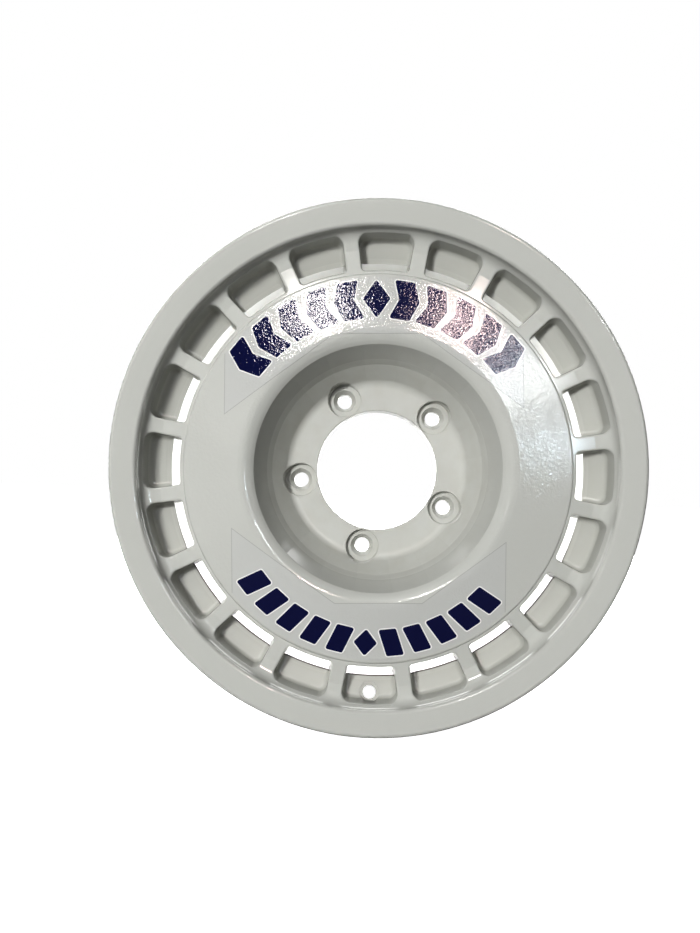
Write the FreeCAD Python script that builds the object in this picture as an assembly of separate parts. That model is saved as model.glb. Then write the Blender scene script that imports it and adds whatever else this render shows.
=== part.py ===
"""Forged one-piece racing wheel, 16 x 7 inches, with twenty vent windows and vinyl graphics on its face.

Millimetres. The wheel turns about Y, its outer face looks along -Y and +Z is up. The origin is on the
axle line, halfway between the two rim edges. Sections are drawn as (radius, depth) pairs, where depth
runs inboard from the plane that touches the front rim edge.
"""

import FreeCAD
import Part
import math
import os

from FreeCAD import Vector

# Rim, to the 16 x 7 J contour
BEAD_SEAT_RADIUS = 405.6 / 2
RIM_WIDTH = 177.8
FLANGE_HEIGHT = 17.3
FLANGE_THICKNESS = 10.5
FLANGE_EDGE_RADIUS = 3.3
FLANGE_BACK_RADIUS = 6.8
HEEL_RADIUS = 6.5
SEAT_TAPER = 5.0
SEAT_LENGTH = 18.0
HUMP_LENGTH = 7.5
HUMP_HEIGHT = 1.3
WELL_DROP = 19.1
WELL_END_DEPTH = 90.0
WELL_RISE_LENGTH = 20.0
BARREL_WALL = 5.5
BARREL_STEP = 6.3
SEAT_WALL = 4.9

# Front lip, the flat ring that frames the face
LIP_DISH = 11.0
LIP_WIDTH = 21.5
LIP_INNER_RADIUS = 3.4

# Ring of vent windows and ribs
WINDOW_COUNT = 20
RIB_WIDTH = 10.6
RIB_FOOT_DEPTH = 20.2
RIB_BEND_RADIUS = 183.6
RIB_RISE = 12.0
RIB_ROOT_RADIUS = 11.0
WINDOW_INNER_RADIUS = 166.2
WINDOW_LEDGE = 2.2
WINDOW_DRAFT = 3.0
WINDOW_OUTER_CORNER = 7.0
WINDOW_INNER_CORNER = 3.4
WINDOW_FLOOR_CORNER = 4.0
WINDOW_EDGE_RADIUS = 1.6
FLOOR_DEPTH = 33.6
FLOOR_SLOPE = 18.5

# Face, from the edge beside the windows to the lip of the centre recess
FACE_OUTER_RADIUS = 162.6
FACE_STEP = 1.5
FACE_EDGE_RADIUS = 1.8
FACE_SLOPE = 6.0
FACE_INNER_RADIUS = 109.2
FACE_ROLL_RADIUS = 15.0
FACE_THICKNESS = 11.0

# Centre recess and hub pad
THROAT_RADIUS = 104.1
THROAT_DROP = 6.1
THROAT_CORNER = 1.5
CONE_BREAK_RADIUS = 92.3
CONE_BREAK_DROP = 36.1
CONE_BREAK_CORNER = 2.0
PAD_DEPTH = 69.0
PAD_CORNER_RADIUS = 79.5
PAD_FILLET = 8.0
PAD_THICKNESS = 20.0
PAD_BACK_RADIUS = 84.0
RECESS_WALL = 12.0

# Hub interface
BORE_RADIUS = 54.05
BORE_FRONT_EDGE = 0.8
BORE_BACK_EDGE = 2.0
LUG_COUNT = 5
LUG_CIRCLE_RADIUS = 139.7 / 2
LUG_HOLE_RADIUS = 6.7
LUG_SEAT_RADIUS = 10.2
LUG_SEAT_HALF_ANGLE = 30.0
NUT_POCKET_RADIUS = 14.6
NUT_POCKET_DEPTH = 6.0
NUT_POCKET_EDGE = 0.6

# Valve hole, in the floor of the lowest window
VALVE_RADIUS_FROM_AXLE = 191.6
VALVE_HOLE_RADIUS = 5.65
VALVE_SPOT_RADIUS = 8.5
VALVE_SPOT_DEPTH = 1.0

# Vinyl graphics, stacked on the face: clear film, then white backings, then navy figures
VINYL = 0.1
FIGURE_COUNT = 11
BACKING_BORDER = 1.1
FIGURE_CORNER = 1.6
UPPER_CENTRE = -2.7
UPPER_PITCH = 9.85
UPPER_RADIUS = 141.0
UPPER_HEIGHT = 33.0
UPPER_WIDTH = 23.0
UPPER_STROKE = 17.0
LOWER_CENTRE = 182.4
LOWER_PITCH = 9.6
LOWER_ARC_RADIUS = 129.0
LOWER_ARC_DROP = 16.0
LOWER_HEIGHT = 22.8
LOWER_WIDTH = 19.5
LOWER_STROKE = 14.5
FILM_OUTER_RADIUS = 159.8
FILM_TRIM = 111.5
FILM_LEAN = -2.15
UPPER_FILM_ENDS = (-128.0, 121.0)
LOWER_FILM_ENDS = (-122.0, 106.0)

# Worked out from the sizes above
FLANGE_RADIUS = BEAD_SEAT_RADIUS + FLANGE_HEIGHT
TOTAL_WIDTH = RIM_WIDTH + 2 * FLANGE_THICKNESS
LIP_WALL_RADIUS = FLANGE_RADIUS - LIP_WIDTH
WINDOW_OUTER_RADIUS = LIP_WALL_RADIUS - WINDOW_LEDGE
WELL_RADIUS = BEAD_SEAT_RADIUS - WELL_DROP
WELL_INSIDE_RADIUS = WELL_RADIUS - BARREL_WALL
MOUNT_DEPTH = PAD_DEPTH + PAD_THICKNESS
WINDOW_STEP = 360.0 / WINDOW_COUNT
OVERCUT = 8.0


def slope(degrees):
    return math.tan(math.radians(degrees))


def face_depth(radius):
    """Depth of the face's cone, which falls away from the recess towards the windows."""
    rib_depth = RIB_FOOT_DEPTH - (RIB_BEND_RADIUS - FACE_OUTER_RADIUS) * slope(FACE_SLOPE)
    return rib_depth - FACE_STEP - (FACE_OUTER_RADIUS - radius) * slope(FACE_SLOPE)


def floor_depth(radius):
    """Depth of the window floor, which is the front wall of the rim well."""
    return FLOOR_DEPTH + (WINDOW_OUTER_RADIUS - radius) * slope(FLOOR_SLOPE)


def section_point(radius, depth):
    return Vector(radius, depth - TOTAL_WIDTH / 2, 0)


def rounded_outline(corners):
    """Closed wire through (point, corner radius) pairs, with each corner rounded by a tangent arc."""
    starts, arcs, ends = [], [], []
    for index, (corner, radius) in enumerate(corners):
        towards_last = (corners[index - 1][0] - corner).normalize()
        towards_next = (corners[(index + 1) % len(corners)][0] - corner).normalize()
        half_angle = towards_last.getAngle(towards_next) / 2
        reach = radius / math.tan(half_angle)
        middle = (towards_last + towards_next).normalize()
        starts.append(corner + towards_last * reach)
        arcs.append(corner + middle * (radius / math.sin(half_angle) - radius))
        ends.append(corner + towards_next * reach)
    edges = []
    for index in range(len(corners)):
        if corners[index][1] > 0:
            edges.append(Part.Arc(starts[index], arcs[index], ends[index]).toShape())
        following = (index + 1) % len(corners)
        if ends[index].distanceToPoint(starts[following]) > 1e-6:
            edges.append(Part.LineSegment(ends[index], starts[following]).toShape())
    return Part.Wire(edges)


def turned(section):
    """Solid of revolution about the axle from (radius, depth, corner radius) triples."""
    outline = rounded_outline([(section_point(r, d), corner) for r, d, corner in section])
    return Part.Face(outline).revolve(Vector(0, 0, 0), Vector(0, 1, 0), 360)


def clocked(shape, degrees):
    """Copy of a shape turned clockwise about the axle, as seen from the front."""
    copy = shape.copy()
    copy.rotate(Vector(0, 0, 0), Vector(0, 1, 0), degrees)
    return copy


def edges_where(shape, test):
    return [edge for edge in shape.Edges if test(edge)]


def from_axle(point):
    return math.hypot(point.x, point.z)


def front_section():
    """Hub pad, recess, face, ribs and lip, from the bore outwards."""
    roll_top = face_depth(FACE_INNER_RADIUS)
    rib_edge = FACE_OUTER_RADIUS + FACE_STEP / 2
    rib_edge_depth = RIB_FOOT_DEPTH - (RIB_BEND_RADIUS - rib_edge) * slope(FACE_SLOPE)
    rib_top = RIB_FOOT_DEPTH - (LIP_WALL_RADIUS - RIB_BEND_RADIUS) * slope(RIB_RISE)
    dish = math.radians(LIP_DISH)
    lip_corner = FLANGE_EDGE_RADIUS * (1 - (1 + math.sin(dish)) / math.cos(dish))
    return [
        (BORE_RADIUS, PAD_DEPTH, BORE_FRONT_EDGE),
        (PAD_CORNER_RADIUS, PAD_DEPTH, PAD_FILLET),
        (CONE_BREAK_RADIUS, roll_top + CONE_BREAK_DROP, CONE_BREAK_CORNER),
        (THROAT_RADIUS, roll_top + THROAT_DROP, THROAT_CORNER),
        (FACE_INNER_RADIUS, roll_top, FACE_ROLL_RADIUS),
        (FACE_OUTER_RADIUS, face_depth(FACE_OUTER_RADIUS), FACE_EDGE_RADIUS),
        (rib_edge, rib_edge_depth, FACE_STEP / 4),
        (RIB_BEND_RADIUS, RIB_FOOT_DEPTH, 5.0),
        (LIP_WALL_RADIUS, rib_top, RIB_ROOT_RADIUS),
        (LIP_WALL_RADIUS, lip_corner + LIP_WIDTH * math.tan(dish), LIP_INNER_RADIUS),
        (FLANGE_RADIUS, lip_corner, FLANGE_EDGE_RADIUS),
    ]


def tyre_side_section():
    """Flanges, bead seats, humps and well, from the front flange to the back one."""
    seat_fall = SEAT_LENGTH * slope(SEAT_TAPER)
    half = [
        (FLANGE_RADIUS, FLANGE_THICKNESS, FLANGE_BACK_RADIUS),
        (BEAD_SEAT_RADIUS, FLANGE_THICKNESS, HEEL_RADIUS),
        (BEAD_SEAT_RADIUS - seat_fall, FLANGE_THICKNESS + SEAT_LENGTH, 2.0),
        (BEAD_SEAT_RADIUS - seat_fall + HUMP_HEIGHT, FLANGE_THICKNESS + SEAT_LENGTH + 3.5, 3.0),
    ]
    hump_end = FLANGE_THICKNESS + SEAT_LENGTH + HUMP_LENGTH
    wall_back = BARREL_WALL / math.cos(math.radians(FLOOR_SLOPE))
    well_start = floor_depth(WELL_RADIUS) + wall_back
    flank_top = BEAD_SEAT_RADIUS - seat_fall
    front = half + [
        (flank_top, floor_depth(flank_top) + wall_back, 3.5),
        (WELL_RADIUS, well_start, 5.0),
    ]
    behind_well = BEAD_SEAT_RADIUS - BARREL_STEP
    back = [
        (WELL_RADIUS, WELL_END_DEPTH, 15.0),
        (behind_well, WELL_END_DEPTH + WELL_RISE_LENGTH, 20.0),
        (BEAD_SEAT_RADIUS - seat_fall - 2.0, TOTAL_WIDTH - hump_end, 6.0),
    ]
    mirrored = [(r, TOTAL_WIDTH - d, corner) for r, d, corner in reversed(half)]
    return front + back + mirrored


def hub_side_section():
    """Back lip, inside of the barrel, back of the disc and mounting face, ending at the bore."""
    barrel_inside = BEAD_SEAT_RADIUS - BARREL_STEP - BARREL_WALL
    seat_inside = BEAD_SEAT_RADIUS - SEAT_WALL
    disc_back = face_depth(FACE_OUTER_RADIUS) + FACE_THICKNESS
    rise_shift = 2.0
    return [
        (FLANGE_RADIUS, TOTAL_WIDTH, FLANGE_EDGE_RADIUS),
        (seat_inside, TOTAL_WIDTH, 9.0),
        (seat_inside, TOTAL_WIDTH - FLANGE_THICKNESS - 10.0, 20.0),
        (barrel_inside, TOTAL_WIDTH - FLANGE_THICKNESS - SEAT_LENGTH - 12.0, 20.0),
        (barrel_inside, WELL_END_DEPTH + WELL_RISE_LENGTH + rise_shift, 20.0),
        (WELL_INSIDE_RADIUS, WELL_END_DEPTH + rise_shift, 15.0),
        (WELL_INSIDE_RADIUS, disc_back + 24.0, 8.0),
        (WINDOW_INNER_RADIUS - 2.0, disc_back + 8.5, 10.0),
        (THROAT_RADIUS + RECESS_WALL, face_depth(THROAT_RADIUS + RECESS_WALL) + FACE_THICKNESS + 3.0, 12.0),
        (CONE_BREAK_RADIUS + RECESS_WALL, face_depth(FACE_INNER_RADIUS) + CONE_BREAK_DROP + 4.0, 12.0),
        (PAD_BACK_RADIUS + 8.0, MOUNT_DEPTH - 15.0, 8.0),
        (PAD_BACK_RADIUS, MOUNT_DEPTH, 2.0),
        (BORE_RADIUS, MOUNT_DEPTH, BORE_BACK_EDGE),
    ]


def rib_gap(front_depth, back_depth):
    """Space between two parallel-sided ribs, at twelve o'clock; the ribs thicken as they go in."""
    half_step = math.radians(WINDOW_STEP / 2)
    low = WINDOW_INNER_RADIUS - 2 * OVERCUT
    high = WINDOW_OUTER_RADIUS + 2 * OVERCUT

    def outline(depth):
        y = depth - TOTAL_WIDTH / 2
        offset = (RIB_WIDTH / 2 + depth * slope(WINDOW_DRAFT)) / math.cos(half_step)
        x_low = low * math.tan(half_step) - offset
        x_high = high * math.tan(half_step) - offset
        points = [Vector(-x_low, y, low), Vector(x_low, y, low)]
        points += [Vector(x_high, y, high), Vector(-x_high, y, high)]
        return Part.makePolygon(points + points[:1])

    return Part.makeLoft([outline(front_depth), outline(back_depth)], True, True)


def ring(inner, outer, front_depth, back_depth):
    """Plain ring about the axle."""
    return turned([
        (inner, front_depth, 0),
        (outer, front_depth, 0),
        (outer, back_depth, 0),
        (inner, back_depth, 0),
    ])


def near_radius(edge, radius):
    return abs(from_axle(middle_of(edge)) - radius) < 0.5


def middle_of(edge):
    return edge.valueAt((edge.FirstParameter + edge.LastParameter) / 2)


def on_floor(edge):
    """True when an edge lies in the sloping floor of a window."""
    ends = [edge.valueAt(edge.FirstParameter), edge.valueAt(edge.LastParameter)]
    return all(abs(depth_of(p) - floor_depth(from_axle(p))) < 0.02 for p in ends + [middle_of(edge)])


def depth_of(point):
    return point.y + TOTAL_WIDTH / 2


def window_shaft(inner, inner_corner):
    """Straight-through opening between two ribs, with its upright corners rounded."""
    behind = floor_depth(inner) + 3 * OVERCUT
    shaft = ring(inner, WINDOW_OUTER_RADIUS, -OVERCUT, behind).common(rib_gap(-OVERCUT, behind))
    for radius, corner in ((WINDOW_OUTER_RADIUS, WINDOW_OUTER_CORNER), (inner, inner_corner)):
        if corner > 0:
            upright = edges_where(shaft, lambda edge: edge.Length > behind and near_radius(edge, radius))
            shaft = shaft.makeFillet(corner, upright)
    return shaft


def window_cutter():
    """One vent window at twelve o'clock: open at the front, closed over the rim well by its floor."""
    inner = WINDOW_INNER_RADIUS - OVERCUT
    outer = WINDOW_OUTER_RADIUS + OVERCUT
    above_floor = turned([
        (inner - OVERCUT, -2 * OVERCUT, 0),
        (outer, -2 * OVERCUT, 0),
        (outer, floor_depth(outer), 0),
        (inner - OVERCUT, floor_depth(inner - OVERCUT), 0),
    ])
    pocket = window_shaft(inner, 0).common(above_floor)
    floor_edges = edges_where(pocket, lambda edge: on_floor(edge) and not near_radius(edge, inner))
    pocket = pocket.makeFillet(WINDOW_FLOOR_CORNER, floor_edges)
    pocket = pocket.common(ring(WELL_INSIDE_RADIUS, outer, -2 * OVERCUT, TOTAL_WIDTH))
    slot = window_shaft(WINDOW_INNER_RADIUS, WINDOW_INNER_CORNER)
    slot = slot.common(ring(inner, WELL_INSIDE_RADIUS, -2 * OVERCUT, TOTAL_WIDTH))
    return pocket.fuse(slot).removeSplitter()


def rib_sector():
    """One pitch of the wheel from rib line to rib line, with its window cut and rounded over."""
    sections = front_section() + tyre_side_section() + hub_side_section()
    outline = rounded_outline([(section_point(r, d), corner) for r, d, corner in sections])
    blank = Part.Face(outline).revolve(Vector(0, 0, 0), Vector(0, 1, 0), WINDOW_STEP)
    blank = clocked(blank, -90 - WINDOW_STEP / 2)
    opening = window_cutter()
    sector = blank.cut(opening)
    mouth = edges_where(sector, lambda edge: breaks_out(edge, blank, opening, RIB_FOOT_DEPTH + 1.0))
    return sector.makeFillet(WINDOW_EDGE_RADIUS, mouth)


def breaks_out(edge, blank, opening, deepest):
    """True for edges where an opening breaks through the front of a blank."""
    middle = Part.Vertex(middle_of(edge))
    shallow = depth_of(middle_of(edge)) < deepest
    return shallow and all(middle.distToShape(solid.Shells[0])[0] < 0.001 for solid in (blank, opening))


def on_rib_line(face):
    """True for the two flat faces where a sector meets its neighbours."""
    angles = [math.degrees(math.atan2(vertex.X, vertex.Z)) for vertex in face.Vertexes]
    level = max(angles) - min(angles) < 1e-6
    return level and abs(abs(angles[0]) - WINDOW_STEP / 2) < 1e-6


def ringed_wheel():
    """All the sectors, joined into one closed solid."""
    skin = [face for face in rib_sector().Faces if not on_rib_line(face)]
    faces = [clocked(face, WINDOW_STEP * index) for index in range(WINDOW_COUNT) for face in skin]
    shell = Part.Compound(faces)
    shell.sewShape()
    return Part.Solid(shell.Shells[0])


def drilled(steps):
    """Round cutter on the axle line from (radius, depth) steps."""
    outline = [section_point(radius, depth) for radius, depth in steps]
    profile = Part.Face(Part.makePolygon(outline + outline[:1]))
    return profile.revolve(Vector(0, 0, 0), Vector(0, 1, 0), 360)


def lug_cutter():
    """Wheel-stud hole at twelve o'clock, with its conical nut seat and the round pocket for the nut."""
    seat_depth = PAD_DEPTH + NUT_POCKET_DEPTH
    cone = (LUG_SEAT_RADIUS - LUG_HOLE_RADIUS) / slope(LUG_SEAT_HALF_ANGLE)
    steps = [
        (0, PAD_DEPTH - 3 * OVERCUT),
        (NUT_POCKET_RADIUS + NUT_POCKET_EDGE, PAD_DEPTH - 3 * OVERCUT),
        (NUT_POCKET_RADIUS + NUT_POCKET_EDGE, PAD_DEPTH),
        (NUT_POCKET_RADIUS, PAD_DEPTH + NUT_POCKET_EDGE),
        (NUT_POCKET_RADIUS, seat_depth),
        (LUG_SEAT_RADIUS, seat_depth),
        (LUG_HOLE_RADIUS, seat_depth + cone),
        (LUG_HOLE_RADIUS, MOUNT_DEPTH + OVERCUT),
        (0, MOUNT_DEPTH + OVERCUT),
    ]
    cutter = drilled(steps)
    cutter.translate(Vector(0, 0, LUG_CIRCLE_RADIUS))
    return cutter


def valve_cutter():
    """Valve hole square to the floor of the lowest window, with a flat spot face round its mouth."""
    lean = math.radians(FLOOR_SLOPE)
    inwards = Vector(0, math.cos(lean), -math.sin(lean))
    mouth = Vector(0, floor_depth(VALVE_RADIUS_FROM_AXLE) - TOTAL_WIDTH / 2, -VALVE_RADIUS_FROM_AXLE)
    start = mouth - inwards * OVERCUT
    spot = Part.makeCylinder(VALVE_SPOT_RADIUS, OVERCUT + VALVE_SPOT_DEPTH, start, inwards)
    hole = Part.makeCylinder(VALVE_HOLE_RADIUS, 3 * OVERCUT, start, inwards)
    return spot.fuse(hole)


def lug_angles():
    """The studs stand on rib lines; the valve window is at six o'clock."""
    first = 180 + WINDOW_STEP / 2
    return [first + 360.0 / LUG_COUNT * index for index in range(LUG_COUNT)]


def wheel_forging():
    cutters = [clocked(lug_cutter(), degrees) for degrees in lug_angles()]
    cutters.append(valve_cutter())
    return ringed_wheel().cut(cutters).Solids[0]


def face_line(offset):
    """The face's front line at a height above the paint: down the throat, round the roll, out to the edge."""
    throat = Vector(FACE_INNER_RADIUS - THROAT_RADIUS, -THROAT_DROP, 0).normalize()
    outwards = Vector(1, slope(FACE_SLOPE), 0).normalize()
    off_throat = Vector(throat.y, -throat.x, 0)
    off_face = Vector(outwards.y, -outwards.x, 0)
    corner = Vector(FACE_INNER_RADIUS, face_depth(FACE_INNER_RADIUS), 0)
    edge = Vector(FACE_OUTER_RADIUS - FACE_EDGE_RADIUS, face_depth(FACE_OUTER_RADIUS - FACE_EDGE_RADIUS), 0)
    start = corner - throat * (FACE_ROLL_RADIUS * 0.7) + off_throat * offset
    bend = corner + (off_throat + off_face) * (offset / (1 + off_throat.dot(off_face)))
    end = edge + off_face * offset
    return [
        (start.x, start.y, 0),
        (bend.x, bend.y, FACE_ROLL_RADIUS + offset),
        (end.x, end.y, 0),
    ]


def face_skin(layer):
    """One vinyl thickness laid over the whole face, counted outwards from the paint."""
    under = face_line(layer * VINYL)
    over = face_line((layer + 1) * VINYL)
    return turned(under + over[::-1])


def standing_face(corners):
    """Flat face across the axle, in front of the wheel, from ((x, z), corner radius) pairs."""
    front = -TOTAL_WIDTH / 2 - OVERCUT
    return Part.Face(rounded_outline([(Vector(x, front, z), radius) for (x, z), radius in corners]))


def stamped(flat, skin):
    """The piece of a skin that lies behind a flat face."""
    return flat.extrude(Vector(0, TOTAL_WIDTH, 0)).common(skin).Solids[0]


def chevron(width, height, stroke):
    """Arrow head pointing clockwise, centred on the top of the wheel's axis."""
    left = -width / 2
    right = width / 2
    half = height / 2
    return [
        (left, -half),
        (right - stroke, 0),
        (left, half),
        (left + stroke, half),
        (right, 0),
        (left + stroke, -half),
    ]


def slanted_bar(width, height, stroke):
    half = height / 2
    return [
        (-width / 2, -half),
        (width / 2 - stroke, half),
        (width / 2, half),
        (stroke - width / 2, -half),
    ]


def diamond(width, height):
    return [(-width / 2, 0), (0, height / 2), (width / 2, 0), (0, -height / 2)]


def figure_flats(corners, radius, arc_drop, degrees):
    """Navy face and its wider white backing, placed on an arc of the graphics."""
    figure = standing_face([(corner, FIGURE_CORNER) for corner in corners])
    backing = figure.makeOffset2D(BACKING_BORDER)
    placed = []
    for flat in (backing, figure):
        flat.translate(Vector(0, 0, radius))
        flat = clocked(flat, degrees)
        flat.translate(Vector(0, 0, -arc_drop))
        placed.append(flat)
    return placed


def mirrored_if(corners, wanted):
    return [(-x, z) for x, z in reversed(corners)] if wanted else corners


def graphics(prefix, shapes, radius, arc_drop, centre, pitch):
    """Backings and figures of one arc, numbered clockwise."""
    pieces = {}
    for index, corners in enumerate(shapes):
        degrees = centre + pitch * (index - (len(shapes) - 1) / 2)
        backing, figure = figure_flats(corners, radius, arc_drop, degrees)
        pieces["%s_backing_%02d" % (prefix, index + 1)] = stamped(backing, face_skin(1))
        pieces["%s_figure_%02d" % (prefix, index + 1)] = stamped(figure, face_skin(2))
    return pieces


def arc_of_shapes(bar, middle):
    """A run of bars that lean away from the middle figure on both sides."""
    half = FIGURE_COUNT // 2
    return [mirrored_if(bar, True)] * half + [middle] + [bar] * half


def film(ends, upper):
    """Clear film with plumb ends, trimmed by three straight cuts beside the centre recess."""
    far = FILM_OUTER_RADIUS + OVERCUT
    left, right = ends
    low = 0 if upper else -far
    sheet = standing_face([((x, z), 0) for x, z in rectangle(left, right, low, low + far)])
    strip = standing_face([((x, z), 0) for x, z in rectangle(-far, far, -far, FILM_TRIM)])
    hole = strip
    for tilt in (-36, 36):
        hole = hole.common(clocked(strip, tilt))
    if not upper:
        hole = clocked(hole, 180)
    lean = clocked(sheet.cut(hole), FILM_LEAN).extrude(Vector(0, TOTAL_WIDTH, 0))
    disc = ring(THROAT_RADIUS, FILM_OUTER_RADIUS, -2 * OVERCUT, TOTAL_WIDTH)
    pieces = lean.common(disc).common(face_skin(0))
    return max(pieces.Solids, key=lambda solid: solid.Volume)


def rectangle(left, right, low, high):
    return [(left, low), (left, high), (right, high), (right, low)]


def main():
    os.makedirs("parts", exist_ok=True)
    pieces = {"wheel_forging": wheel_forging()}
    pieces["upper_film"] = film(UPPER_FILM_ENDS, True)
    pieces["lower_film"] = film(LOWER_FILM_ENDS, False)
    chevrons = arc_of_shapes(chevron(UPPER_WIDTH, UPPER_HEIGHT, UPPER_STROKE), diamond(UPPER_WIDTH, UPPER_HEIGHT))
    bars = arc_of_shapes(slanted_bar(LOWER_WIDTH, LOWER_HEIGHT, LOWER_STROKE), diamond(LOWER_WIDTH, LOWER_HEIGHT))
    pieces.update(graphics("upper", chevrons, UPPER_RADIUS, 0, UPPER_CENTRE, UPPER_PITCH))
    pieces.update(graphics("lower", bars, LOWER_ARC_RADIUS, LOWER_ARC_DROP, LOWER_CENTRE, LOWER_PITCH))
    for name, shape in pieces.items():
        shape.exportStep("parts/%s.step" % name)


main()
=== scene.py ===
# %% [markdown]
# # A forged racing wheel, painted off-white
#
# This lesson dresses a finished CAD wheel: gloss paint, clear film, cut vinyl, soft light and a
# camera. The wheel's metal is one forging, and the film and vinyl on it are modelled too, so the
# shape is complete. What Blender adds is how its surfaces look.
#
# Everything is in metres. The wheel turns about Y, its outer face looks along -Y and Z is up.

# %% Load the wheel
import bpy
import math
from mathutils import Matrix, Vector


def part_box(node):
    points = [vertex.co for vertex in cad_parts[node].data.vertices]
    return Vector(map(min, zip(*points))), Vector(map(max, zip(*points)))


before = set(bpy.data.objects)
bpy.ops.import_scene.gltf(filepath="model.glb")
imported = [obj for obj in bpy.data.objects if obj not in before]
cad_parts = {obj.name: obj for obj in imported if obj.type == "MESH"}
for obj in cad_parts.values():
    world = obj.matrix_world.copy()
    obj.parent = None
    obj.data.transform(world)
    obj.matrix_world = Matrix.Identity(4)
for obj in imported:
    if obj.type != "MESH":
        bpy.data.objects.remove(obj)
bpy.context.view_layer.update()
bpy.ops.object.select_all(action="DESELECT")
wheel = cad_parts["wheel_forging"]
wheel_low, wheel_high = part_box("wheel_forging")
print("the wheel is", [round(b - a, 4) for a, b in zip(wheel_low, wheel_high)], "metres")

# %% [markdown]
# ## A helper for materials
#
# A material is a small network: pattern nodes on the left, the Principled shader on the right.
# Building it by hand means adding a node, setting its values and joining sockets. Two short helpers
# do just that, so each material below reads as a list of nodes.

# %% Helpers for nodes
def add_node(tree, kind, **settings):
    """Add a node; lower-case settings are its properties, the others are its input values."""
    node = tree.nodes.new(kind)
    for name, value in settings.items():
        if name in node.bl_rna.properties:
            setattr(node, name, value)
        else:
            node.inputs[name.replace("_", " ")].default_value = value
    return node


def join(tree, source, target):
    tree.links.new(target, source)


def calculate(tree, operation, first, second=None, clamp=False):
    """Math node whose inputs are sockets or plain numbers."""
    node = tree.nodes.new("ShaderNodeMath")
    node.operation = operation
    node.use_clamp = clamp
    for slot, value in enumerate((first, second)):
        if value is None:
            continue
        if isinstance(value, (int, float)):
            node.inputs[slot].default_value = value
        else:
            join(tree, value, node.inputs[slot])
    return node.outputs[0]


def mix_colours(tree, factor, first, second):
    node = tree.nodes.new("ShaderNodeMix")
    node.data_type = "RGBA"
    sockets = {"factor": node.inputs[0], "first": node.inputs[6], "second": node.inputs[7]}
    for name, value in (("factor", factor), ("first", first), ("second", second)):
        if isinstance(value, (int, float, tuple)):
            sockets[name].default_value = value
        else:
            join(tree, value, sockets[name])
    return node.outputs[2]


print("node helpers ready")

# %% [markdown]
# ## Where on the wheel a point is
#
# Dirt and wear follow the shape of a wheel: they lie in rings round the axle. So a node group turns
# a point's own coordinates into its distance from the axle, its depth behind the front of the rim
# and its height above the axle. It is built once, and a material that needs it places a copy.

# %% Node group: wheel_place
def new_group(name, inputs, outputs):
    """Empty shader group with float sockets and its input and output nodes."""
    group = bpy.data.node_groups.new(name, "ShaderNodeTree")
    for title, value in inputs.items():
        socket = group.interface.new_socket(name=title, in_out="INPUT", socket_type="NodeSocketFloat")
        socket.default_value = value
    for title, kind in outputs.items():
        group.interface.new_socket(name=title, in_out="OUTPUT", socket_type=kind)
    return group, group.nodes.new("NodeGroupInput"), group.nodes.new("NodeGroupOutput")


place_outputs = {title: "NodeSocketFloat" for title in ("Radius", "Depth", "Height")}
place_group, _, place_out = new_group("wheel_place", {}, place_outputs)
coordinates = add_node(place_group, "ShaderNodeTexCoord")
split = add_node(place_group, "ShaderNodeSeparateXYZ")
join(place_group, coordinates.outputs["Object"], split.inputs[0])
x_squared = calculate(place_group, "MULTIPLY", split.outputs["X"], split.outputs["X"])
z_squared = calculate(place_group, "MULTIPLY", split.outputs["Z"], split.outputs["Z"])
radius = calculate(place_group, "SQRT", calculate(place_group, "ADD", x_squared, z_squared))
join(place_group, radius, place_out.inputs["Radius"])
front_of_rim = wheel_low.y
depth = calculate(place_group, "SUBTRACT", split.outputs["Y"], front_of_rim)
join(place_group, depth, place_out.inputs["Depth"])
join(place_group, split.outputs["Z"], place_out.inputs["Height"])
print("wheel_place ready; the front of the rim is at y =", round(front_of_rim, 4))

# %% [markdown]
# ## Orange peel
#
# Sprayed paint and stuck film are never quite flat: they have a fine skin like an orange's. It is
# what breaks a lamp's reflection into curdled patches. Fine lumps and long waves of noise are added
# up, then a Bump node turns the height into tilted normals. Both heights are inputs in metres, so
# that film can have more of it than paint.

# %% Node group: orange_peel
peel_group, peel_in, peel_out = new_group(
    "orange_peel",
    {"Lump size": 0.0016, "Height": 0.00002, "Wave height": 0.0001},
    {"Normal": "NodeSocketVector"},
)
peel_coordinates = add_node(peel_group, "ShaderNodeTexCoord")
lump_scale = calculate(peel_group, "DIVIDE", 1.0, peel_in.outputs["Lump size"])
lumps = add_node(peel_group, "ShaderNodeTexNoise", Detail=2.0, Roughness=0.55)
join(peel_group, peel_coordinates.outputs["Object"], lumps.inputs["Vector"])
join(peel_group, lump_scale, lumps.inputs["Scale"])
WAVES_IN_A_METRE = 45.0
waves = add_node(peel_group, "ShaderNodeTexNoise", Scale=WAVES_IN_A_METRE, Detail=2.0)
join(peel_group, peel_coordinates.outputs["Object"], waves.inputs["Vector"])
lump_height = calculate(peel_group, "MULTIPLY", lumps.outputs[0], peel_in.outputs["Height"])
wave_height = calculate(peel_group, "MULTIPLY", waves.outputs[0], peel_in.outputs["Wave height"])
peel_bump = add_node(peel_group, "ShaderNodeBump", Strength=1.0, Distance=1.0)
join(peel_group, calculate(peel_group, "ADD", lump_height, wave_height), peel_bump.inputs["Height"])
join(peel_group, peel_bump.outputs[0], peel_out.inputs["Normal"])
print("orange_peel ready")

# %% A helper that places a group
def place_group_in(tree, group, **values):
    node = tree.nodes.new("ShaderNodeGroup")
    node.node_tree = group
    for name, value in values.items():
        node.inputs[name.replace("_", " ")].default_value = value
    return node


def new_finish(name):
    """Fresh material with its tree and its Principled shader."""
    material = bpy.data.materials.new(name)
    material.use_nodes = True
    return material, material.node_tree, material.node_tree.nodes["Principled BSDF"]


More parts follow.
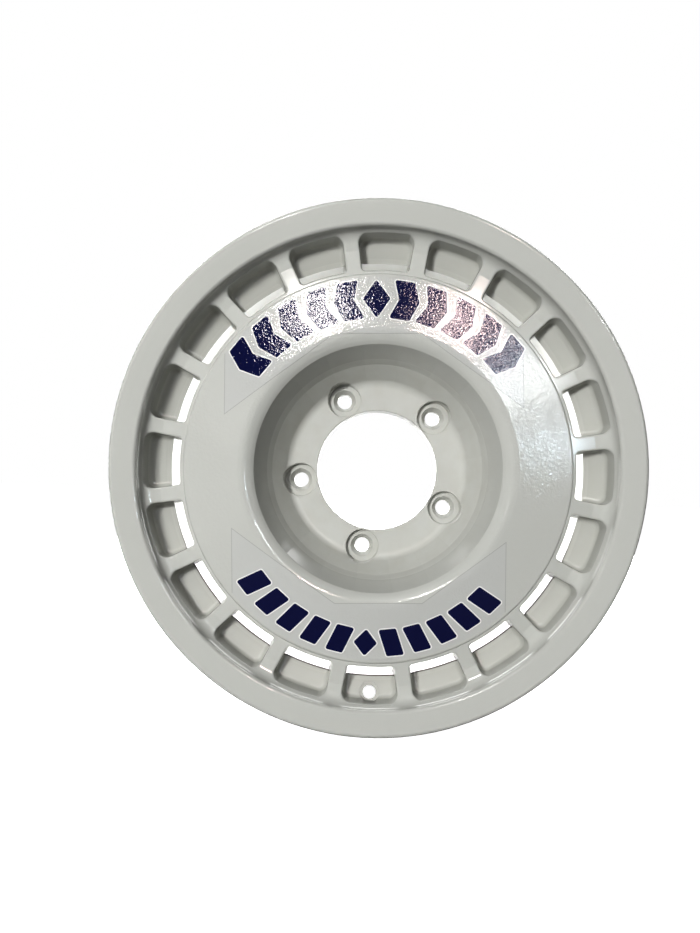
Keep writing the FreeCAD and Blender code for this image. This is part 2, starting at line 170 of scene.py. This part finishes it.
def band(tree, value, start, end):
    """0 below start, 1 above end, straight between."""
    node = tree.nodes.new("ShaderNodeMapRange")
    node.clamp = True
    join(tree, value, node.inputs["Value"])
    node.inputs["From Min"].default_value = start
    node.inputs["From Max"].default_value = end
    return node.outputs[0]


print("finish helpers ready")

# %% [markdown]
# ## Off-white gloss paint
#
# The wheel is sprayed a warm off-white under a hard clear gloss. The colour is slightly uneven,
# darkened in the recess and down in the windows by dust and painted shade, with a band of painted
# shade on the lower windows' inner edge, and chipped to dark specks at a few places near the rim
# edge. A low roughness gives the gloss, and it rises in the deep places, where dust settles.

# %% Wheel paint: orange peel, on the face only
FACE_INNER_RADIUS = 0.110
FACE_OUTER_RADIUS = 0.162
PEEL_HEIGHT_ON_FACE = 0.00020
PEEL_HEIGHT_ELSEWHERE = 0.000006
WAVES_ON_FACE = 0.00025
WAVES_ELSEWHERE = 0.00004
paint, tree, shader = new_finish("off_white_gloss_paint")
where = place_group_in(tree, place_group)
radius_here, depth_here = where.outputs["Radius"], where.outputs["Depth"]
peel = place_group_in(tree, peel_group, Lump_size=0.0026)
inside_outer = band(tree, radius_here, FACE_OUTER_RADIUS + 0.001, FACE_OUTER_RADIUS - 0.0005)
outside_inner = band(tree, radius_here, FACE_INNER_RADIUS - 0.002, FACE_INNER_RADIUS + 0.002)
on_face = calculate(tree, "MULTIPLY", inside_outer, outside_inner)
for socket, high, low in (
    ("Height", PEEL_HEIGHT_ON_FACE, PEEL_HEIGHT_ELSEWHERE),
    ("Wave height", WAVES_ON_FACE, WAVES_ELSEWHERE),
):
    masked = calculate(tree, "MULTIPLY", on_face, high)
    join(tree, calculate(tree, "MAXIMUM", masked, low), peel.inputs[socket])
join(tree, peel.outputs["Normal"], shader.inputs["Normal"])
print("orange peel between radius", FACE_INNER_RADIUS, "and", FACE_OUTER_RADIUS)

# %% Wheel paint: colour, clean, dusty and with painted shade
PAINT_DARKER = (0.53, 0.535, 0.505, 1)
PAINT_LIGHTER = (0.57, 0.575, 0.545, 1)
DUST_AND_SHADE = (0.46, 0.45, 0.40, 1)
WINDOW_FLOOR_DIRT_AND_SHADE = (0.30, 0.295, 0.26, 1)
WINDOW_EDGE_SHADE_AND_GRIME = (0.035, 0.018, 0.014, 1)
on_paint = add_node(tree, "ShaderNodeTexCoord").outputs["Object"]
cloud = add_node(tree, "ShaderNodeTexNoise", Scale=9.0, Detail=3.0)
join(tree, on_paint, cloud.inputs["Vector"])
clean = mix_colours(tree, cloud.outputs[0], PAINT_DARKER, PAINT_LIGHTER)
dust_and_shade_noise = add_node(tree, "ShaderNodeTexNoise", Scale=60.0, Detail=4.0)
join(tree, on_paint, dust_and_shade_noise.inputs["Vector"])
# Dust and painted shade: further behind the rim the colour darkens in noisy patches, for settled dust
# and for the shade that falls in the recess.
deep = band(tree, depth_here, 0.018, 0.055)
dust_and_shade = calculate(tree, "MULTIPLY", deep, band(tree, dust_and_shade_noise.outputs[0], 0.35, 0.75))
dusty_and_shaded = mix_colours(tree, calculate(tree, "MULTIPLY", dust_and_shade, 0.35), clean, DUST_AND_SHADE)
# The window floors get a darker colour on top: dust, and painted shade down in the windows.
window_floor = calculate(tree, "MULTIPLY", band(tree, radius_here, 0.176, 0.180), deep)
dusty_and_shaded = mix_colours(tree, calculate(tree, "MULTIPLY", window_floor, 0.45), dusty_and_shaded, WINDOW_FLOOR_DIRT_AND_SHADE)
# A dark brown band on the inner edge of the lower windows, at the front of the well: painted shade
# where that edge faces away from the light, with some brown grime.
edge_shade_and_grime = 0.95
for mask in (
    band(tree, radius_here, 0.170, 0.176),
    band(tree, radius_here, 0.1795, 0.1787),
    band(tree, depth_here, 0.034, 0.036),
    band(tree, depth_here, 0.054, 0.049),
    band(tree, where.outputs["Height"], -0.04, -0.09),
):
    edge_shade_and_grime = calculate(tree, "MULTIPLY", mask, edge_shade_and_grime)
dusty_and_shaded = mix_colours(tree, edge_shade_and_grime, dusty_and_shaded, WINDOW_EDGE_SHADE_AND_GRIME)
print("dust starts", 0.018, "metres behind the front of the rim")

# %% Wheel paint: chips at the rim edge, and gloss
CHIP = (0.12, 0.115, 0.11, 1)
CLEAN_ROUGHNESS = 0.12
ADDED_WHERE_DEEP = 0.28
speck = add_node(tree, "ShaderNodeTexVoronoi", Scale=38.0)
join(tree, on_paint, speck.inputs["Vector"])
speck_edge = band(tree, speck.outputs["Distance"], 0.055, 0.035)
chips = calculate(tree, "MULTIPLY", speck_edge, band(tree, radius_here, 0.213, 0.2185))
join(tree, mix_colours(tree, chips, dusty_and_shaded, CHIP), shader.inputs["Base Color"])
dulled = calculate(tree, "MULTIPLY", deep, ADDED_WHERE_DEEP)
join(tree, calculate(tree, "ADD", dulled, CLEAN_ROUGHNESS), shader.inputs["Roughness"])
shader.inputs["Specular IOR Level"].default_value = 0.35
print("paint has", len(tree.nodes), "nodes")

# %% [markdown]
# ## Clear film
#
# Two sheets of clear film lie over the face. Film this thin shows the paint under it unchanged, so
# it takes the paint's own colour, and what tells it apart is its gloss: stronger orange peel, and a
# thin dark line painted along each cut edge, for the edge's shadow and the dirt caught there. Making
# it truly transparent would only add noise, because its underside touches the paint.
#
# Each sheet has two plumb ends and three straight cuts towards the recess. The line follows them: it
# is drawn where a point's distance to the nearest cut is less than the line's width. The lower sheet
# is the upper one turned half round, so one rule serves both.

# %% Node group: film_edge
film_group, film_in, film_out = new_group(
    "film_edge",
    {
        "Upper left": 0.128,
        "Upper right": 0.121,
        "Lower left": 0.122,
        "Lower right": 0.106,
        "Line": 0.0007,
    },
    {"Line": "NodeSocketFloat"},
)
film_place = add_node(film_group, "ShaderNodeTexCoord")
film_split = add_node(film_group, "ShaderNodeSeparateXYZ")
join(film_group, film_place.outputs["Object"], film_split.inputs[0])
side = calculate(film_group, "SIGN", film_split.outputs["Z"])
is_upper = calculate(film_group, "GREATER_THAN", side, 0.0)
across = calculate(film_group, "MULTIPLY", film_split.outputs["X"], side)
upwards = calculate(film_group, "ABSOLUTE", film_split.outputs["Z"])


def along(degrees):
    """How far a point lies in a direction clockwise from straight up, or from straight down."""
    turn = math.radians(degrees)
    sideways = calculate(film_group, "MULTIPLY", across, math.sin(turn))
    outwards = calculate(film_group, "MULTIPLY", upwards, math.cos(turn))
    return calculate(film_group, "ADD", sideways, outwards)


def either(upper, lower):
    """One socket or the other, by which film the point is on."""
    as_upper = calculate(film_group, "MULTIPLY", upper, is_upper)
    not_upper = calculate(film_group, "SUBTRACT", 1.0, is_upper)
    as_lower = calculate(film_group, "MULTIPLY", lower, not_upper)
    return calculate(film_group, "ADD", as_upper, as_lower)


FILM_LEAN = -2.15
TRIM_DISTANCE = 0.1115
TRIM_TILTS = (-36, 0, 36)
furthest = along(FILM_LEAN + TRIM_TILTS[0])
for tilt in TRIM_TILTS[1:]:
    furthest = calculate(film_group, "MAXIMUM", furthest, along(FILM_LEAN + tilt))
inner_gap = calculate(film_group, "SUBTRACT", furthest, TRIM_DISTANCE)
to_right = along(FILM_LEAN + 90)
left_end = either(film_in.outputs["Upper left"], film_in.outputs["Lower right"])
right_end = either(film_in.outputs["Upper right"], film_in.outputs["Lower left"])
left_gap = calculate(film_group, "ADD", left_end, to_right)
right_gap = calculate(film_group, "SUBTRACT", right_end, to_right)
nearest_end = calculate(film_group, "MINIMUM", left_gap, right_gap)
nearest = calculate(film_group, "MINIMUM", inner_gap, nearest_end)
inside_line = calculate(film_group, "DIVIDE", nearest, film_in.outputs["Line"])
line = calculate(film_group, "SUBTRACT", 1.0, inside_line, clamp=True)
join(film_group, line, film_out.inputs["Line"])
print("film_edge ready, with trims", TRIM_DISTANCE, "metres from the axle")

# %% Clear film
STUCK_PEEL = {"Lump_size": 0.0018, "Height": 0.00022, "Wave_height": 0.00025}
FILM_DARKER = (0.53, 0.535, 0.515, 1)
FILM_LIGHTER = (0.57, 0.575, 0.555, 1)
EDGE_SHADOW_AND_DIRT = (0.16, 0.16, 0.15, 1)
film, tree, shader = new_finish("clear_gloss_film")
peel = place_group_in(tree, peel_group, **STUCK_PEEL)
on_film = add_node(tree, "ShaderNodeTexCoord").outputs["Object"]
cloud = add_node(tree, "ShaderNodeTexNoise", Scale=9.0, Detail=3.0)
join(tree, on_film, cloud.inputs["Vector"])
clean = mix_colours(tree, cloud.outputs[0], FILM_DARKER, FILM_LIGHTER)
# The painted edge line: a painted shadow of each cut edge, together with the dirt caught along it.
edge = place_group_in(tree, film_group)
edge_strength = calculate(tree, "MULTIPLY", edge.outputs["Line"], 0.5)
edged = mix_colours(tree, edge_strength, clean, EDGE_SHADOW_AND_DIRT)
join(tree, edged, shader.inputs["Base Color"])
join(tree, peel.outputs["Normal"], shader.inputs["Normal"])
smears = add_node(tree, "ShaderNodeTexNoise", Scale=30.0, Detail=3.0)
join(tree, on_film, smears.inputs["Vector"])
smeared = calculate(tree, "MULTIPLY", band(tree, smears.outputs[0], 0.4, 0.8), 0.05)
join(tree, calculate(tree, "ADD", smeared, 0.05), shader.inputs["Roughness"])
print("film has", len(tree.nodes), "nodes")

# %% [markdown]
# ## Cut vinyl
#
# Each figure is navy vinyl on a slightly wider white one, so a thin white border shows. Both take
# the film's lumpy gloss. Navy is a very dark blue: its colour value stays low, and the reflection
# on top of it does most of the work.

# %% Navy and white vinyl
def vinyl(name, colour, worn_colour, wear):
    """Gloss vinyl whose worn spots let a second colour through."""
    material, tree, shader = new_finish(name)
    peel = place_group_in(tree, peel_group, **STUCK_PEEL)
    place = add_node(tree, "ShaderNodeTexCoord")
    scuffs = add_node(tree, "ShaderNodeTexNoise", Scale=220.0, Detail=5.0, Roughness=0.7)
    join(tree, place.outputs["Object"], scuffs.inputs["Vector"])
    worn = band(tree, scuffs.outputs[0], wear, wear + 0.06)
    join(tree, mix_colours(tree, worn, colour, worn_colour), shader.inputs["Base Color"])
    dulled = calculate(tree, "MULTIPLY", worn, 0.3)
    join(tree, calculate(tree, "ADD", dulled, 0.05), shader.inputs["Roughness"])
    join(tree, peel.outputs["Normal"], shader.inputs["Normal"])
    return material


NAVY, SCUFFED_NAVY = (0.006, 0.008, 0.055, 1), (0.05, 0.055, 0.12, 1)
WHITE, SCUFFED_WHITE = (0.80, 0.80, 0.78, 1), (0.62, 0.61, 0.57, 1)
navy = vinyl("navy_gloss_vinyl", NAVY, SCUFFED_NAVY, wear=0.72)
white = vinyl("white_gloss_vinyl", WHITE, SCUFFED_WHITE, wear=0.68)
print("vinyl finishes:", navy.name, white.name)

# %% Give each node its finish
finishes = {"wheel": paint, "film": film, "backing": white, "figure": navy}
for name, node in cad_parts.items():
    finish = next(value for word, value in finishes.items() if word in name)
    for slot in node.material_slots:
        slot.material = finish
print("dressed", len(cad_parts), "nodes")

# %% [markdown]
# ## The camera
#
# The wheel is seen from the front, from about arm's length, a little left of its axle and a little
# below it, and rolled two degrees clockwise. Turning the camera anticlockwise shows the same thing
# without moving the wheel. A short lens at this distance gives the strong perspective that opens
# the view into the recess.

# %% Camera
SENSOR = 36.0
FRAME_WIDTH, FRAME_HEIGHT = 700.0, 933.0
DISTANCE_TO_FRONT = 0.5673
LEFT_OF_AXLE, BELOW_AXLE = 0.0135, 0.0165
WHEEL_ROLL = math.radians(2.15)
camera_data = bpy.data.cameras.new("camera")
camera = bpy.data.objects.new("camera", camera_data)
bpy.context.scene.collection.objects.link(camera)
camera_data.sensor_fit = "AUTO"
camera_data.sensor_width = SENSOR
camera_data.lens = SENSOR * FRAME_WIDTH / FRAME_HEIGHT
camera_data.clip_start = 0.01
camera_data.shift_x = -0.0121
camera_data.shift_y = 0.0228
camera.location = (-LEFT_OF_AXLE, wheel_low.y - DISTANCE_TO_FRONT, -BELOW_AXLE)
camera.rotation_euler = (math.radians(90), -WHEEL_ROLL, 0)
bpy.context.scene.camera = camera
print("camera is", round(DISTANCE_TO_FRONT, 3), "m in front of the rim")

# %% [markdown]
# ## Floor and light
#
# The floor and what the camera sees past the wheel are near white, but they light it dimly, so the
# gloss reflects a dim room and the navy stays deep. The strongest soft lamp stands at the upper left,
# which leaves the upper left wall of the recess dark. Gloss and shading are lit apart: reflections
# don't show the soft lamps, and the sparkle lamps light nothing but reflections.

# %% Floor
bpy.ops.mesh.primitive_plane_add(size=30.0, location=(0, 0, wheel_low.z))
floor = bpy.context.object
floor.name = "floor"
floor_finish, tree, shader = new_finish("pale_floor")
seen = add_node(tree, "ShaderNodeLightPath")
FLOOR_FOR_LIGHT, FLOOR_FOR_CAMERA = (0.12, 0.12, 0.12, 1), (0.90, 0.90, 0.90, 1)
pale = mix_colours(tree, seen.outputs["Is Camera Ray"], FLOOR_FOR_LIGHT, FLOOR_FOR_CAMERA)
join(tree, pale, shader.inputs["Base Color"])
shader.inputs["Roughness"].default_value = 0.9
shader.inputs["Emission Color"].default_value = (1, 1, 1, 1)
join(tree, seen.outputs["Is Camera Ray"], shader.inputs["Emission Strength"])
floor.data.materials.append(floor_finish)
print("the floor lies at z =", round(wheel_low.z, 4))

# %% Surround: white where the camera looks past the wheel, dim for everything else
world = bpy.data.worlds.new("studio")
bpy.context.scene.world = world
world.use_nodes = True
sky = world.node_tree
dim = sky.nodes["Background"]
dim.inputs["Color"].default_value = (0.93, 0.96, 1, 1)
dim.inputs["Strength"].default_value = 0.05
bright = add_node(sky, "ShaderNodeBackground", Color=(1, 1, 1, 1), Strength=1.0)
seen = add_node(sky, "ShaderNodeLightPath")
choose = add_node(sky, "ShaderNodeMixShader")
join(sky, seen.outputs["Is Camera Ray"], choose.inputs[0])
join(sky, dim.outputs[0], choose.inputs[1])
join(sky, bright.outputs[0], choose.inputs[2])
join(sky, choose.outputs[0], sky.nodes["World Output"].inputs["Surface"])
bpy.context.scene.view_settings.view_transform = "Standard"
bpy.context.scene.view_settings.gamma = 0.8
print("surround:", world.name)


# %% Light panels
def panel(name, place, size, watts, tint=(1, 1, 1)):
    """Soft rectangular lamp that faces the middle of the wheel."""
    data = bpy.data.lights.new(name, "AREA")
    data.shape = "RECTANGLE"
    data.size, data.size_y = size
    data.energy = watts
    data.color = tint
    lamp = bpy.data.objects.new(name, data)
    bpy.context.scene.collection.objects.link(lamp)
    lamp.location = place
    lamp.rotation_euler = (-Vector(place)).to_track_quat("-Z", "Y").to_euler()
    return lamp


def lamp_at(name, clock_degrees, off_axis_degrees, distance, size, watts):
    """Lamp placed by its direction: an angle clockwise from the top, and one off the axle."""
    clock = math.radians(clock_degrees)
    reach = distance * math.tan(math.radians(off_axis_degrees))
    place = (reach * math.sin(clock), wheel_low.y - distance, reach * math.cos(clock))
    return panel(name, place, size, watts)


for name, clock, off_axis, watts in (("key", -66, 24, 44), ("left", -105, 24, 6), ("right", 30, 20, 4)):
    soft = lamp_at(name + "_light", clock, off_axis, 2.0, (0.35, 0.35), watts)
    soft.visible_glossy = False
lamp_at("ceiling", -10, 44, 2.4, (1.6, 0.7), 9)
panel("back_panel", (0, 1.6, 0.5), (2.4, 1.6), 110)
print("soft lamps in front, a ceiling, and a panel behind that lights the barrel")

# %% Sparkle lamps: each stands where its mirror image lands on a chosen spot of the face
FACE_SLOPE = math.radians(6)
FACE_DEPTH = 0.014
SPARKLE_DISTANCE = 2.2


def mirror_place(clock_degrees, radius):
    """Where a lamp must stand to be mirrored at this angle and radius on the face."""
    clock = math.radians(clock_degrees)
    spot = Vector((radius * math.sin(clock), wheel_low.y + FACE_DEPTH, radius * math.cos(clock)))
    lean = math.sin(FACE_SLOPE)
    normal = Vector((lean * math.sin(clock), -math.cos(FACE_SLOPE), lean * math.cos(clock)))
    towards = (spot - camera.location).normalized().reflect(normal)
    return spot + towards * SPARKLE_DISTANCE


for name, clock, radius, size, watts, tint in (
    ("upper_left", -24, 0.136, (0.20, 0.15), 16, (1, 0.95, 0.93)),
    ("top_right", 27, 0.139, (0.17, 0.15), 13, (1, 0.80, 0.76)),
    ("right", 56, 0.139, (0.30, 0.22), 9, (0.93, 0.97, 1)),
    ("right_side", 80, 0.146, (0.20, 0.12), 4, (0.75, 0.88, 1)),
    ("lower_left", -115, 0.138, (0.10, 0.10), 9, (1, 1, 1)),
    ("lower_right", 134, 0.131, (0.22, 0.12), 22, (0.8, 0.9, 1)),
    ("bottom", 181, 0.133, (0.30, 0.20), 6, (1, 1, 1)),
):
    sparkle = panel(name + "_sparkle", mirror_place(clock, radius), size, watts, tint)
    sparkle.visible_diffuse = False
